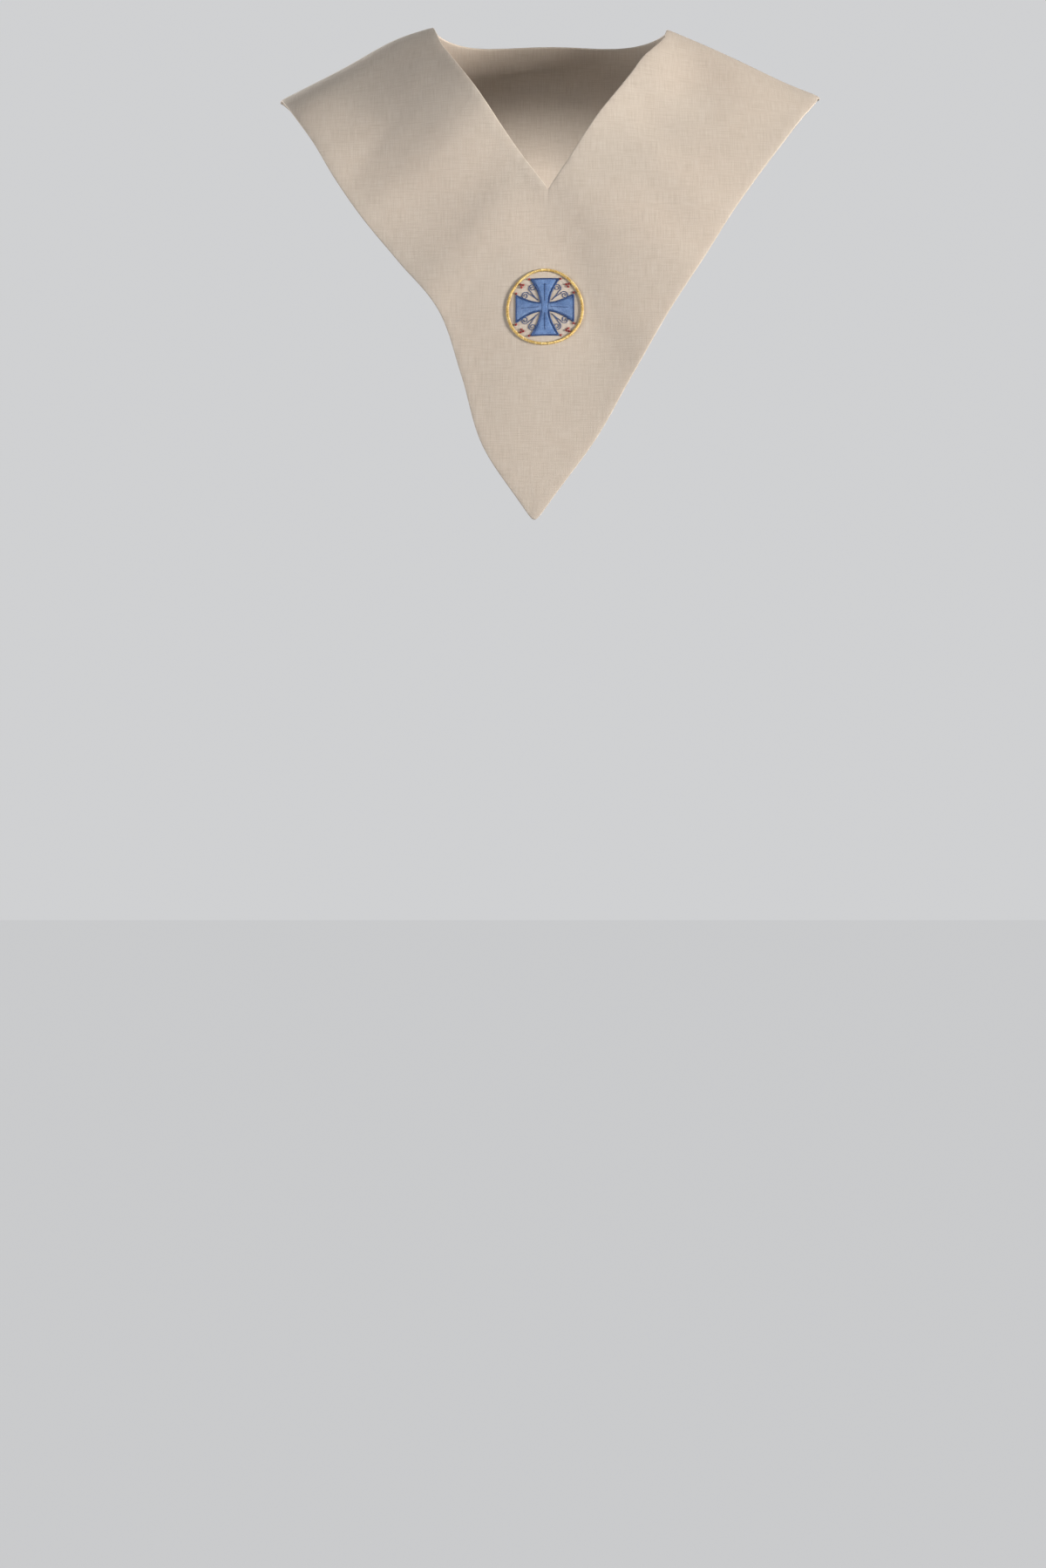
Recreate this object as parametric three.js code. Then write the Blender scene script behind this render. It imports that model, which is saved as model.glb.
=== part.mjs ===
import * as THREE from 'three';

// Lector scapular: a pointed yoke of linen that lies round the neck and over both shoulders, with a V
// neckline and a deep point in front. It keeps the hollow shape that it has when it is worn.
// Millimetres. The front faces -Y, +X is the viewer's right and +Z is up. The origin is midway between
// the two places where the neckline crosses the top of the shoulders.

// Cloth and seams
const CLOTH = 1.8; // two layers of linen, sewn together along the edges and turned
const SEAM_GAP = 0.3;
const STITCH_HEIGHT = 0.8; // how far the embroidery stands up

// Top of the shoulders
const NECK_HALF = 94; // from the middle to where the neckline crosses the shoulder
const TIP_HALF = 217; // from the middle to the tip on the shoulder
const SHOULDER_FALL = 0.575; // slope of the shoulders, far from the neck
const SHOULDER_ROUND = 60; // how gently the slope begins
const SEAM_PUFFS = [
  // where the cloth is pushed up along the shoulder seam
  { name: 'left, beside the neck', across: -124, height: 4.3, width: 31, depth: 25 },
  { name: 'right tip', across: 216, height: 3, width: 20, depth: 30 },
];

// Front of the form that carries the cloth
const FRONT_ROLL = 7.87; // reach gained for each root of the drop below the shoulder
const FRONT_DEPTH = 122;
const FORM_HALF = 300;
const NOTCH_DROP = 163;
const POINT_DROP = 422;
const POINT_BLUNT = 3.5; // how much the points in front and behind are rounded off

// Back of the form
const BACK_ROLL = 9.3;
const NAPE_ROLL = { extra: 4, width: 90 }; // the back slopes more gently just behind the neck
const BACK_DEPTH = 120;
const NAPE_REACH = 62; // from the shoulder line to the middle of the back neckline
const BACK_POINT_DROP = 381;
const BACK_HEM_HOLLOW = 9;

// The front's edges from the shoulder seam, station 0, to the centre front, station 1. Each is a distance
// to the right of the middle. The drop of an edge grows as the station to the power of DROP_POWER.
const DROP_POWER = 1.6;
const FRONT_SECTIONS = [
  { station: 0.0, neckRight: 94.0, hemRight: 217.0, neckLeft: -94.0, hemLeft: -217.0 },
  { station: 0.1, neckRight: 92.6, hemRight: 210.8, neckLeft: -92.3, hemLeft: -210.8 },
  { station: 0.2, neckRight: 90.0, hemRight: 198.0, neckLeft: -89.3, hemLeft: -199.9 },
  { station: 0.3, neckRight: 82.6, hemRight: 182.0, neckLeft: -85.4, hemLeft: -184.9 },
  { station: 0.4, neckRight: 73.0, hemRight: 162.5, neckLeft: -78.1, hemLeft: -168.5 },
  { station: 0.5, neckRight: 64.4, hemRight: 140.6, neckLeft: -69.5, hemLeft: -147.0 },
  { station: 0.6, neckRight: 53.7, hemRight: 117.6, neckLeft: -59.2, hemLeft: -118.8 },
  { station: 0.7, neckRight: 40.6, hemRight: 91.0, neckLeft: -47.7, hemLeft: -87.0 },
  { station: 0.8, neckRight: 27.3, hemRight: 63.6, neckLeft: -35.0, hemLeft: -69.4 },
  { station: 0.9, neckRight: 13.8, hemRight: 32.6, neckLeft: -19.9, hemLeft: -52.0 },
  { station: 1.0, neckRight: -2.0, hemRight: -13.0, neckLeft: -2.0, hemLeft: -13.0 },
];

// Where the cloth stands away from the form, as soft mounds
const FRONT_STANDS = [
  { name: 'left neckline', across: -36, drop: 77, height: 16, width: 71, length: 45 },
  { name: 'right neckline', across: 48, drop: 55, height: 3.8, width: 32, length: 32 },
  { name: 'right shoulder', across: 88, drop: 51, height: 5.5, width: 26, length: 45 },
  { name: 'right hem', across: 107, drop: 292, height: 12.5, width: 56, length: 83 },
  { name: 'point', across: 2, drop: 396, height: 4.3, width: 90, length: 140 },
];
const BACK_STANDS = [
  { name: 'point', across: 0, drop: 400, height: 7, width: 60, length: 90 },
  { name: 'left hem', across: -110, drop: 235, height: 5, width: 34, length: 70 },
  { name: 'right hem', across: 108, drop: 240, height: 6, width: 34, length: 70 },
];

// The largest folds, each a soft ridge along a line between two places, given as across and drop. It is a
// hollow where its height is below zero.
const FRONT_FOLDS = [
  { name: 'left tip crest', from: [-200, 20], to: [-171, 133], height: 5.5, width: 32 },
  { name: 'left shoulder hollow', from: [-103, 45], to: [-149, 100], height: -0.8, width: 19 },
  { name: 'left neckline crest', from: [-98, 48], to: [-52, 69], height: 5.5, width: 30 },
  { name: 'left middle crest', from: [-80, 113], to: [-123, 132], height: 2.3, width: 25 },
  { name: 'left notch crest', from: [-38, 174], to: [-93, 222], height: 1.8, width: 23 },
  { name: 'right shoulder hollow', from: [112, 19], to: [83, 87], height: -5.5, width: 28 },
  { name: 'right tip crest', from: [201, 57], to: [146, 137], height: 4.5, width: 36 },
  { name: 'right middle crest', from: [81, 125], to: [128, 168], height: 3.3, width: 35 },
  { name: 'right lower crest', from: [24, 167], to: [105, 200], height: 4.4, width: 36 },
  { name: 'right notch hollow', from: [5, 185], to: [37, 280], height: -2.5, width: 27 },
  { name: 'right emblem crest', from: [33, 220], to: [45, 327], height: 1, width: 29 },
];
const BACK_FOLDS = [
  { name: 'left shoulder hollow', from: [-120, 40], to: [-98, 140], height: -2.4, width: 20 },
  { name: 'left shoulder crest', from: [-86, 60], to: [-64, 170], height: 2.4, width: 18 },
  { name: 'right shoulder crest', from: [116, 44], to: [88, 150], height: 2.6, width: 19 },
  { name: 'right shoulder hollow', from: [78, 60], to: [52, 165], height: -2.4, width: 18 },
  { name: 'centre crest', from: [6, 120], to: [-8, 260], height: 2, width: 20 },
];
const SETTLE = 20; // drop over which mounds and folds grow from nothing at the seam

// Emblem, on the front below the notch
const EMBLEM = { across: -4.8, drop: 256 };
const CROSS = { arm: 22, core: 3, flare: 7.5, power: 1.7, steps: 5 };
const RING = { radius: 29, width: 2.6, steps: 64 };

// Fineness of the cloth's grid
const FRONT_GRID = { columns: 60, rows: 18 };
const BACK_GRID = { columns: 40, rows: 16 };

const linen = new THREE.MeshStandardMaterial({ color: 0xd3c3ae, roughness: 0.9, metalness: 0 });
const blueThread = new THREE.MeshStandardMaterial({ color: 0x5f8fc4, roughness: 0.5, metalness: 0 });
const goldThread = new THREE.MeshStandardMaterial({ color: 0xc9a04a, roughness: 0.4, metalness: 0.3 });

const { clamp, lerp } = THREE.MathUtils;

// Height of the shoulder line, a hyperbola that passes through the origin's height at the neckline.
function shoulderLine(across) {
  const top = Math.hypot(SHOULDER_FALL * NECK_HALF, SHOULDER_ROUND);
  return top - Math.hypot(SHOULDER_FALL * across, SHOULDER_ROUND);
}

// Rise of the cloth at the seam, the same in front of it and behind it.
function puffHeight(across, drop) {
  let height = 0;
  for (const puff of SEAM_PUFFS) {
    const side = (across - puff.across) / puff.width;
    height += puff.height * Math.exp(-side * side - drop / puff.depth);
  }
  return height;
}

// Reach that grows with the root of the drop near the shoulder and levels off at the form's depth.
function roundedReach(roll, depth, across, drop) {
  const near = roll * Math.sqrt(Math.max(drop, 0));
  const far = depth * Math.sqrt(1 - (across / FORM_HALF) ** 2);
  return (near * far) / (near ** 4 + far ** 4) ** 0.25;
}

// Sum of the mounds at a place.
function standOff(mounds, across, drop) {
  let height = 0;
  for (const mound of mounds) {
    const side = (across - mound.across) / mound.width;
    const down = (drop - mound.drop) / mound.length;
    height += mound.height * Math.exp(-side * side - down * down);
  }
  return height;
}

// Sum of the folds at a place: each falls away with the distance from its line.
function foldHeight(folds, across, drop) {
  let height = 0;
  for (const fold of folds) {
    const [fromAcross, fromDrop] = fold.from;
    const [toAcross, toDrop] = fold.to;
    const lineAcross = toAcross - fromAcross;
    const lineDrop = toDrop - fromDrop;
    const offAcross = across - fromAcross;
    const offDrop = drop - fromDrop;
    const along = (offAcross * lineAcross + offDrop * lineDrop) / (lineAcross ** 2 + lineDrop ** 2);
    const nearest = clamp(along, 0, 1);
    const distance = Math.hypot(offAcross - nearest * lineAcross, offDrop - nearest * lineDrop);
    height += fold.height * Math.exp(-((distance / fold.width) ** 2));
  }
  return height;
}

// The cloth's outer face on one side of the shoulder line, as a function of the distance to the right and
// the drop.
function clothFace({ facing, reach, mounds, folds }) {
  const bare = (across, drop) => {
    const settled = 1 - Math.exp(-drop / SETTLE);
    const out = reach(across, drop) + settled * standOff(mounds, across, drop) + SEAM_GAP / 2;
    return new THREE.Vector3(across, facing * out, shoulderLine(across) + puffHeight(across, drop) - drop);
  };
  const normalOf = (surface, across, drop) => {
    const step = 0.5;
    const dip = 0.01;
    const alongAcross = surface(across + step, drop).sub(surface(across - step, drop));
    const alongDrop = surface(across, drop + dip).sub(surface(across, drop));
    return alongDrop.cross(alongAcross).multiplyScalar(-facing).normalize();
  };
  const folded = (across, drop) => {
    const settled = 1 - Math.exp(-drop / SETTLE);
    const height = settled * foldHeight(folds, across, drop);
    return bare(across, drop).addScaledVector(normalOf(bare, across, drop), height);
  };
  return (across, drop) => ({ point: folded(across, drop), normal: normalOf(folded, across, drop) });
}

const frontFace = clothFace({
  facing: -1,
  reach: (across, drop) => roundedReach(FRONT_ROLL, FRONT_DEPTH, across, drop),
  mounds: FRONT_STANDS,
  folds: FRONT_FOLDS,
});

function backRoll(across) {
  return BACK_ROLL + NAPE_ROLL.extra * Math.exp(-((across / NAPE_ROLL.width) ** 2));
}

const backFace = clothFace({
  facing: 1,
  reach: (across, drop) => roundedReach(backRoll(across), BACK_DEPTH, across, drop),
  mounds: BACK_STANDS,
  folds: BACK_FOLDS,
});

// Value of a column of the front's table between its rows, on a cubic that passes through them.
function frontColumn(column, station) {
  const last = FRONT_SECTIONS.length - 1;
  const row = Math.min(Math.floor(station * last), last - 1);
  const part = station * last - row;
  const value = (index) => FRONT_SECTIONS[index][column];
  const slope = (index) => {
    const before = Math.max(index - 1, 0);
    const after = Math.min(index + 1, last);
    return (value(after) - value(before)) / (after - before);
  };
  const start = (1 + 2 * part) * (1 - part) ** 2 * value(row) + part * (1 - part) ** 2 * slope(row);
  const end = part ** 2 * (3 - 2 * part) * value(row + 1) - part ** 2 * (1 - part) * slope(row + 1);
  return start + end;
}

// Drop of the hem, which levels off just before the point.
function hemDrop(depth, station) {
  const rounded = 1 - Math.exp((-(1 - station) * depth * DROP_POWER) / POINT_BLUNT);
  return depth * station ** DROP_POWER + POINT_BLUNT * station * rounded;
}

// Across and drop of the front for a turn from 0, the right seam, to 2, the left one, and a share of the
// way from the neckline to the hem.
function frontPlace(turn, share) {
  const station = 1 - Math.abs(turn - 1);
  const side = turn <= 1 ? 'Right' : 'Left';
  const neckAcross = frontColumn(`neck${side}`, station);
  const hemAcross = frontColumn(`hem${side}`, station);
  const neckDrop = NOTCH_DROP * station ** DROP_POWER;
  return [lerp(neckAcross, hemAcross, share), lerp(neckDrop, hemDrop(POINT_DROP, station), share)];
}

// The same for the back, from the left seam to the right one. Its neckline is half an ellipse round the
// neck and its hem a slightly hollow line from each tip to the point.
function backPlace(turn, share) {
  const station = 1 - Math.abs(turn - 1);
  const side = turn <= 1 ? -1 : 1;
  const grown = station ** DROP_POWER;
  const angle = (station * Math.PI) / 2;
  const neckAcross = side * NECK_HALF * Math.cos(angle);
  const neckDrop = ((NAPE_REACH * Math.sin(angle)) / backRoll(neckAcross)) ** 2;
  const hollow = BACK_HEM_HOLLOW * Math.sin(Math.PI * Math.sqrt(grown));
  const hemAcross = side * (TIP_HALF * (1 - grown) - hollow);
  return [lerp(neckAcross, hemAcross, share), lerp(neckDrop, hemDrop(BACK_POINT_DROP, station), share)];
}

// A flat patch of squares, two triangles each, with its corners worked out by a function of column and row.
// The squares of its two halves are cut along mirrored diagonals.
function gridPatch({ columns, rows }, cornerAt, closed = false) {
  const corners = [];
  const faces = [];
  const around = closed ? columns : columns + 1;
  for (let row = 0; row <= rows; row += 1) {
    for (let column = 0; column < around; column += 1) {
      corners.push(cornerAt(column / columns, row / rows));
    }
  }
  for (let row = 0; row < rows; row += 1) {
    for (let column = 0; column < columns; column += 1) {
      const here = row * around + column;
      const beside = row * around + ((column + 1) % around);
      const [below, belowBeside] = [here + around, beside + around];
      const firstHalf = column < columns / 2;
      if (firstHalf) faces.push([here, beside, below], [beside, belowBeside, below]);
      else faces.push([here, beside, belowBeside], [here, belowBeside, below]);
    }
  }
  return { corners, faces };
}

// A closed wall over a patch: an outer and an inner face, and a strip along each edge that only one
// triangle has.
function wallOver(patch, face, inside, outside) {
  const count = patch.corners.length;
  const positions = [];
  for (const height of [outside, inside]) {
    for (const [across, drop] of patch.corners) {
      const { point, normal } = face(across, drop);
      positions.push(...point.addScaledVector(normal, height).toArray());
    }
  }
  const index = [];
  const open = new Map();
  for (const [a, b, c] of patch.faces) {
    index.push(a, b, c, count + a, count + c, count + b);
    for (const [from, to] of [[a, b], [b, c], [c, a]]) {
      if (!open.delete(`${to} ${from}`)) open.set(`${from} ${to}`, [from, to]);
    }
  }
  for (const [from, to] of open.values()) {
    index.push(from, count + from, count + to, from, count + to, to);
  }
  const geometry = new THREE.BufferGeometry();
  geometry.setAttribute('position', new THREE.Float32BufferAttribute(positions, 3));
  geometry.setIndex(index);
  geometry.computeVertexNormals();
  return geometry;
}

// Width of a cross's arm on each side of its middle line, narrow at the core and flared at the end.
function armHalfWidth(from) {
  return CROSS.core + CROSS.flare * ((from - CROSS.core) / (CROSS.arm - CROSS.core)) ** CROSS.power;
}

// The cross as one patch: a square core and four flared arms that share its sides.
function crossPatch() {
  const corners = [[EMBLEM.across, EMBLEM.drop]];
  const faces = [];
  const known = new Map();
  const cornerAt = (right, up) => {
    const key = `${right.toFixed(3)} ${up.toFixed(3)}`;
    if (!known.has(key)) {
      known.set(key, corners.length);
      corners.push([EMBLEM.across + right, EMBLEM.drop - up]);
    }
    return known.get(key);
  };
  for (let arm = 0; arm < 4; arm += 1) {
    const cos = Math.round(Math.cos((arm * Math.PI) / 2));
    const sin = Math.round(Math.sin((arm * Math.PI) / 2));
    const turned = (along, beside) => cornerAt(cos * along - sin * beside, sin * along + cos * beside);
    const rows = [];
    for (let step = 0; step <= CROSS.steps; step += 1) {
      const along = lerp(CROSS.core, CROSS.arm, step / CROSS.steps);
      const half = armHalfWidth(along);
      rows.push([turned(along, -half), turned(along, 0), turned(along, half)]);
    }
    const [near] = rows;
    faces.push([0, near[0], near[1]], [0, near[1], near[2]]);
    for (let step = 0; step < CROSS.steps; step += 1) {
      const [lower, upper] = [rows[step], rows[step + 1]];
      for (const side of [0, 1]) {
        faces.push([lower[side], upper[side], upper[side + 1]]);
        faces.push([lower[side], upper[side + 1], lower[side + 1]]);
      }
    }
  }
  return { corners, faces };
}

// The ring as one patch, closed on itself.
function ringPatch() {
  return gridPatch({ columns: RING.steps, rows: 1 }, (round, outward) => {
    const angle = -round * 2 * Math.PI;
    const radius = RING.radius + (outward - 0.5) * RING.width;
    return [EMBLEM.across + radius * Math.cos(angle), EMBLEM.drop - radius * Math.sin(angle)];
  }, true);
}

function piece(name, geometry, material) {
  const mesh = new THREE.Mesh(geometry, material);
  mesh.name = name;
  return mesh;
}

const frontPatch = gridPatch(FRONT_GRID, (turn, share) => frontPlace(2 * turn, share));
const backPatch = gridPatch(BACK_GRID, (turn, share) => backPlace(2 * turn, share));

const scapular = new THREE.Group();
scapular.add(piece('front_panel', wallOver(frontPatch, frontFace, -CLOTH, 0), linen));
scapular.add(piece('back_panel', wallOver(backPatch, backFace, -CLOTH, 0), linen));
const stitchTop = SEAM_GAP + STITCH_HEIGHT;
scapular.add(piece('emblem_cross', wallOver(crossPatch(), frontFace, SEAM_GAP, stitchTop), blueThread));
scapular.add(piece('emblem_ring', wallOver(ringPatch(), frontFace, SEAM_GAP, stitchTop), goldThread));

export default scapular;
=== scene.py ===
# %% [markdown]
# A lector scapular is a pointed yoke of linen that lies round the neck and over both shoulders. It has a V
# neckline, a tip on each shoulder, and a deep point in front and behind. Two layers of linen are sewn
# together along the edges and turned, so the edge is a soft roll and no stitching shows. An emblem is
# embroidered below the notch.
#
# This lesson makes the cloth as surfaces worked out with numpy, and then sews the emblem on it, thread by
# thread.

import math

import bpy
import numpy as np
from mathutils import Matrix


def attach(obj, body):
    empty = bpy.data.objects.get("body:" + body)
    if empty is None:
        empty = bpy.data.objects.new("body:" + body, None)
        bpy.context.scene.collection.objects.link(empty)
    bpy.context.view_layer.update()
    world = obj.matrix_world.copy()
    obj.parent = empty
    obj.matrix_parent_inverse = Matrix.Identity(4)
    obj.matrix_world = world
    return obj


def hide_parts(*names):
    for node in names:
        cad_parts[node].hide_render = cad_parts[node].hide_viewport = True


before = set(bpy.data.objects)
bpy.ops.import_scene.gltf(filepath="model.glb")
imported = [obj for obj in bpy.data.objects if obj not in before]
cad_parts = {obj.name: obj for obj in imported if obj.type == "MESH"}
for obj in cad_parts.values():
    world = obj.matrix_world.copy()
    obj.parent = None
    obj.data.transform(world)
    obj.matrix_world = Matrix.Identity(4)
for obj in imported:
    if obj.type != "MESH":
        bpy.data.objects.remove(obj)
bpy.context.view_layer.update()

# %% [markdown]
# All sizes are in millimetres, as a maker would write them, and turned into metres when a mesh is made. The
# front faces -Y, +X is the viewer's right and +Z is up. The origin is midway between the two places where
# the neckline crosses the top of the shoulders.

# %% Sizes of the garment
METRE = 1000.0
CLOTH = 1.8  # thickness of the two layers together
SEAM_GAP = 0.3  # between the front and the back panel at the shoulder seam
NECK_HALF = 94.0  # from the middle to where the neckline crosses the shoulder
TIP_HALF = 217.0  # from the middle to the tip on the shoulder
SHOULDER_FALL = 0.575  # slope of the shoulders, far from the neck
SHOULDER_ROUND = 60.0  # how gently the slope begins
FORM_HALF = 300.0  # from the middle to where the form has no depth left
SETTLE = 20.0  # drop over which mounds and folds grow from nothing at the seam
NOTCH_DROP = 163.0
POINT_DROP = 422.0
POINT_BLUNT = 3.5  # how much the points in front and behind are rounded off
DROP_POWER = 1.6  # the drop grows with this power of the station
NAPE_REACH = 62.0  # from the shoulder line to the middle of the back neckline
BACK_POINT_DROP = 381.0
BACK_HEM_HOLLOW = 9.0  # how far the back's hem curves in
print(f"{2 * TIP_HALF:.0f} mm from tip to tip, {2 * NECK_HALF:.0f} mm across the neck")

# %% [markdown]
# The camera stands level, three metres in front of the shoulders, a little to one side of the middle and
# well below the shoulders, because the garment fills only the upper third of the picture. Its lens gives
# 0.7 mm a pixel at the shoulders, in a picture of 1200 by 1799 pixels.

# %% Camera
PICTURE_HIGH = 1799
MM_PER_PIXEL = 0.70
CAMERA_AWAY = 3000.0
CAMERA_ACROSS = -21.7
CAMERA_UP = -605.15
SENSOR = 36.0

camera_data = bpy.data.cameras.new("camera")
camera_data.sensor_fit = "AUTO"
camera_data.sensor_width = SENSOR
camera_data.lens = CAMERA_AWAY / (MM_PER_PIXEL * PICTURE_HIGH) * SENSOR
camera_data.clip_end = 100.0
camera = bpy.data.objects.new("camera", camera_data)
camera.location = (CAMERA_ACROSS / METRE, -CAMERA_AWAY / METRE, CAMERA_UP / METRE)
camera.rotation_euler = (math.radians(90), 0, 0)
bpy.context.collection.objects.link(camera)
bpy.context.scene.camera = camera
bpy.context.scene.view_settings.view_transform = "Standard"
print(f"lens {camera_data.lens:.1f} mm")

# %% [markdown]
# The real cloth takes its shape from the shoulders that carry it. Modelling it by hand or letting it fall
# by simulation would both work, but a formula keeps it exactly on the solids' form. Every point of the
# cloth has two coordinates: its distance to the right, called across, and its drop below the line of the
# shoulders. Near that line the reach forward grows with the root of the drop, which is a round shoulder,
# and further down it levels off at the depth of the form.


# %% The form that carries the cloth
def shoulder_line(across):
    """Height of the shoulders: top - sqrt((fall * across)^2 + round^2), 0 where the neckline crosses."""
    top = math.hypot(SHOULDER_FALL * NECK_HALF, SHOULDER_ROUND)
    return top - np.hypot(SHOULDER_FALL * across, SHOULDER_ROUND)


def rounded_reach(roll, depth, across, drop):
    """near * far / (near^4 + far^4)^(1/4), with near = roll * sqrt(drop) and far an ellipse's depth."""
    near = roll * np.sqrt(np.maximum(drop, 0))
    far = depth * np.sqrt(1 - (across / FORM_HALF) ** 2)
    return near * far / (near**4 + far**4) ** 0.25


FRONT_ROLL = 7.87
FRONT_DEPTH = 122.0
BACK_ROLL = 9.3
BACK_DEPTH = 120.0
NAPE_EXTRA = 4.0
NAPE_WIDTH = 90.0


def back_roll(across):
    """Roll of the back, with more just behind the neck: roll + extra * exp(-(across / width)^2)."""
    return BACK_ROLL + NAPE_EXTRA * np.exp(-((across / NAPE_WIDTH) ** 2))


def front_reach(across, drop):
    """Reach of the front of the form."""
    return rounded_reach(FRONT_ROLL, FRONT_DEPTH, across, drop)


def back_reach(across, drop):
    """Reach of the back of the form."""
    return rounded_reach(back_roll(across), BACK_DEPTH, across, drop)


print(f"the form reaches {front_reach(0.0, POINT_DROP):.0f} mm forward at the front's point")
print(f"and {back_reach(0.0, BACK_POINT_DROP):.0f} mm backward at the back's")


# %% [markdown]
# Stiff linen doesn't follow that form everywhere. It is pushed up along the seam beside the neck, it stands
# off under the neckline and at the right hem, and soft folds run from the neckline towards the hem. Each of
# these is one row of a table with its place and size, and a formula adds them up. The folds and mounds are
# the same as in the solids.

# %% Mounds and folds
SEAM_PUFFS = [  # across, height, width, depth
    (-124, 4.3, 31, 25),
    (216, 3.0, 20, 30),
]
FRONT_STANDS = [  # across, drop, height, width, length
    (-36, 77, 16.0, 71, 45),
    (48, 55, 3.8, 32, 32),
    (88, 51, 5.5, 26, 45),
    (107, 292, 12.5, 56, 83),
    (2, 396, 4.3, 90, 140),
]
BACK_STANDS = [
    (0, 400, 7.0, 60, 90),
    (-110, 235, 5.0, 34, 70),
    (108, 240, 6.0, 34, 70),
]
FRONT_FOLDS = [  # from across, from drop, to across, to drop, height, width
    (-200, 20, -171, 133, 5.5, 32),
    (-103, 45, -149, 100, -0.8, 19),
    (-98, 48, -52, 69, 5.5, 30),
    (-80, 113, -123, 132, 2.3, 25),
    (-38, 174, -93, 222, 1.8, 23),
    (112, 19, 83, 87, -5.5, 28),
    (201, 57, 146, 137, 4.5, 36),
    (81, 125, 128, 168, 3.3, 35),
    (24, 167, 105, 200, 4.4, 36),
    (5, 185, 37, 280, -2.5, 27),
    (33, 220, 45, 327, 1.0, 29),
]
BACK_FOLDS = [
    (-120, 40, -98, 140, -2.4, 20),
    (-86, 60, -64, 170, 2.4, 18),
    (116, 44, 88, 150, 2.6, 19),
    (78, 60, 52, 165, -2.4, 18),
    (6, 120, -8, 260, 2.0, 20),
]


def puff_height(across, drop):
    """Sum of height * exp(-((across - place) / width)^2 - drop / depth) over the puffs."""
    total = np.zeros_like(across)
    for place, height, width, depth in SEAM_PUFFS:
        total += height * np.exp(-(((across - place) / width) ** 2) - drop / depth)
    return total


def stand_off(mounds, across, drop):
    """Sum of height * exp(-(side / width)^2 - (down / length)^2) over the mounds."""
    total = np.zeros_like(across)
    for place, low, height, width, length in mounds:
        total += height * np.exp(-(((across - place) / width) ** 2) - ((drop - low) / length) ** 2)
    return total


def fold_height(folds, across, drop):
    """Sum of height * exp(-(distance to the fold's line / width)^2) over the folds."""
    total = np.zeros_like(across)
    for from_across, from_drop, to_across, to_drop, height, width in folds:
        line_across = to_across - from_across
        line_drop = to_drop - from_drop
        off_across = across - from_across
        off_drop = drop - from_drop
        along = (off_across * line_across + off_drop * line_drop) / (line_across**2 + line_drop**2)
        along = np.clip(along, 0, 1)
        distance = np.hypot(off_across - along * line_across, off_drop - along * line_drop)
        total += height * np.exp(-((distance / width) ** 2))
    return total


print("mounds and folds in front:", len(FRONT_STANDS), len(FRONT_FOLDS))
print("mounds and folds behind:", len(BACK_STANDS), len(BACK_FOLDS))

# %% [markdown]
# Finer creases lie between the large folds: short soft troughs where the linen has bent, and a faint
# unevenness that all handled cloth has. They are too shallow for the solids, so they are placed here, in
# the same way.

# %% Creases
FRONT_CREASES = [  # from across, from drop, to across, to drop, height, width
    (-112, 60, -158, 104, -0.20, 13),
    (-62, 108, -88, 134, -0.16, 12),
    (-34, 150, -62, 186, 0.20, 13),
    (18, 158, 44, 214, 0.15, 13),
    (52, 108, 84, 156, -0.14, 15),
    (150, 40, 132, 96, 0.18, 14),
    (184, 28, 166, 62, -0.15, 12),
    (42, 250, 66, 284, 0.14, 12),
    (-38, 318, -24, 380, 0.18, 14),
    (10, 306, 4, 372, -0.15, 15),
]
BACK_CREASES = [
    (-140, 24, -128, 84, 0.6, 12),
    (-60, 40, -46, 96, -0.5, 12),
    (-30, 60, -34, 150, 0.5, 13),
    (30, 52, 40, 120, 0.6, 12),
    (64, 140, 44, 220, 0.5, 14),
    (-74, 190, -50, 262, -0.6, 13),
    (140, 26, 130, 96, -0.6, 13),
    (170, 40, 150, 80, 0.5, 12),
    (-20, 250, -6, 330, 0.5, 15),
    (34, 262, 18, 326, -0.4, 13),
]
RIPPLES = [  # height, waves to the right, waves downward, start; the waves are lengths in millimetres
    (0.08, 92.0, 131.0, 0.4),
    (0.06, -61.0, 83.0, 1.9),
    (0.05, 47.0, -58.0, 3.1),
    (0.03, 33.0, 29.0, 5.2),
]


def ripple_height(across, drop):
    """Sum of height * sin(2 pi (across / wave + drop / wave) + start) over the ripples."""
    total = np.zeros_like(across)
    for height, wave_across, wave_drop, start in RIPPLES:
        total += height * np.sin(2 * np.pi * (across / wave_across + drop / wave_drop) + start)
    return total


print("creases in front and behind:", len(FRONT_CREASES), len(BACK_CREASES))


# %% [markdown]
# One function now gives the outer face of either panel. A point lies on the form, pushed out by the mounds,
# and then moved along its normal by folds, creases and ripples. The normal is the cross product of two
# short steps on the surface itself. Everything fades out at the shoulder seam, so that front and back meet
# there, and a narrow groove shows where they are sewn together.

# %% The cloth's outer face
GROOVE_DEEP = 0.45
GROOVE_WIDE = 1.1
STEP_ACROSS = 0.5  # steps on the surface that give its normal
STEP_DROP = 0.01


def settled(drop):
    """1 - exp(-drop / settle): nothing at the seam, and all of it further down."""
    return 1 - np.exp(-drop / SETTLE)


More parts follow.
